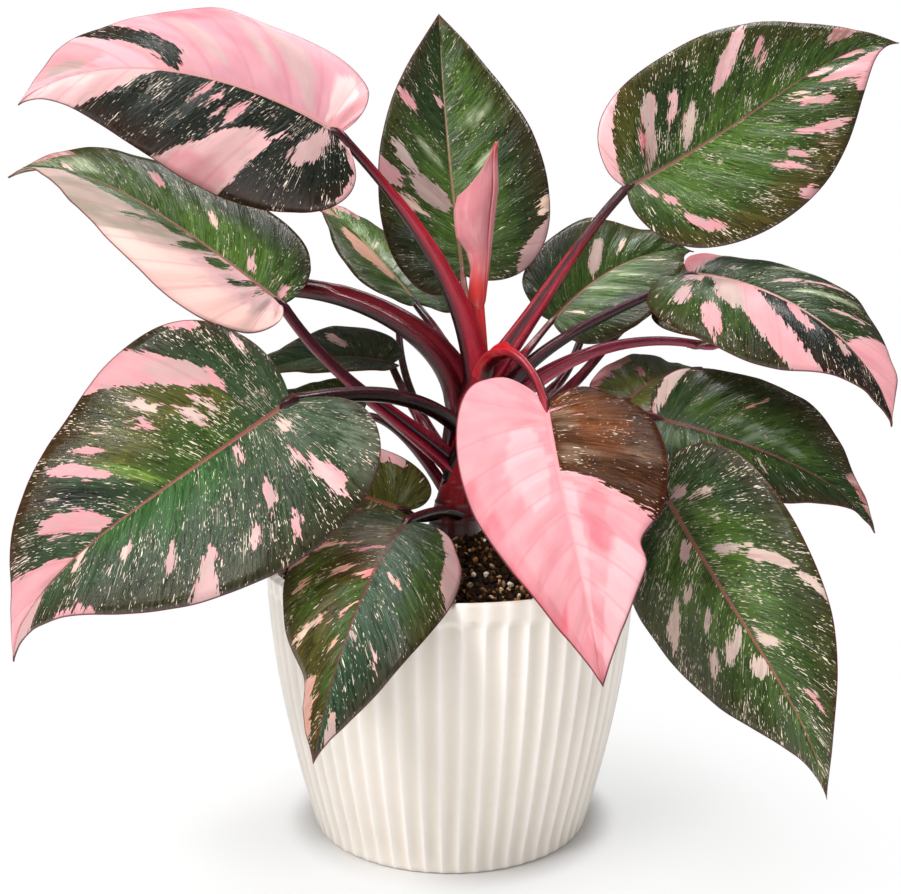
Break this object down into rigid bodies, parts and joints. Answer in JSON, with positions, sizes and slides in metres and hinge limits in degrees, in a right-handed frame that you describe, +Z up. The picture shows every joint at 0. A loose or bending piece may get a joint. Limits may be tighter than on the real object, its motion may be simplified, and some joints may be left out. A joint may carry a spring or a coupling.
{
  "type": "potted philodendron",
  "caption": "Bushy aroid house plant with heart-shaped green and pink variegated leaves on arching red petioles, in a round fluted ceramic pot of potting mix.",
  "frame": {"origin": "centre of the pot's foot, on the surface that it stands on", "axes": "+Z up along the pot's axis, -Y towards the side that the plant is looked at from, +X to the right seen from there"},
  "size_m": [0.4117, 0.3055, 0.389],
  "materials": {
    "pot": "satin cream glaze",
    "soil": "rough, chunky bark and perlite mix",
    "stem": "smooth, slightly waxy",
    "petiole": "smooth, waxy sheen",
    "blade_green": "waxy leaf, semi-gloss, pink and cream variegation",
    "blade_pink": "waxy leaf, semi-gloss, mostly pink"
  },
  "bodies": {
    "root": {"pot": "pot", "soil": "soil", "stem": "stem", "blade_furled": "blade_pink", "petiole_furled": "petiole", "blade_left_high": "blade_pink", "petiole_left_high": "petiole", "blade_right_high": "blade_green", "petiole_right_high": "petiole", "blade_front": "blade_pink", "petiole_front": "petiole", "blade_upright": "blade_green", "petiole_upright": "petiole", "blade_back_left": "blade_green", "petiole_back_left": "petiole", "blade_right_mid": "blade_green", "petiole_right_mid": "petiole", "blade_right_mid_rear": "blade_green", "petiole_right_mid_rear": "petiole", "blade_right_behind": "blade_green", "petiole_right_behind": "petiole", "blade_left_low": "blade_green", "petiole_left_low": "petiole", "blade_left_mid": "blade_green", "petiole_left_mid": "petiole", "blade_right_low": "blade_green", "petiole_right_low": "petiole", "blade_right_small": "blade_green", "petiole_right_small": "petiole", "blade_right_front": "blade_green", "petiole_right_front": "petiole", "blade_front_left": "blade_green", "petiole_front_left": "petiole", "blade_left_inner": "blade_green", "petiole_left_inner": "petiole", "blade_left_rear": "blade_green", "petiole_left_rear": "petiole", "blade_left_small": "blade_green", "petiole_left_small": "petiole", "blade_left_rear_high": "blade_green", "petiole_left_rear_high": "petiole", "blade_back_low": "blade_green", "petiole_back_low": "petiole", "blade_back_right": "blade_green", "petiole_back_right": "petiole", "blade_back_far_right": "blade_green", "petiole_back_far_right": "petiole"}
  },
  "joints": []
}
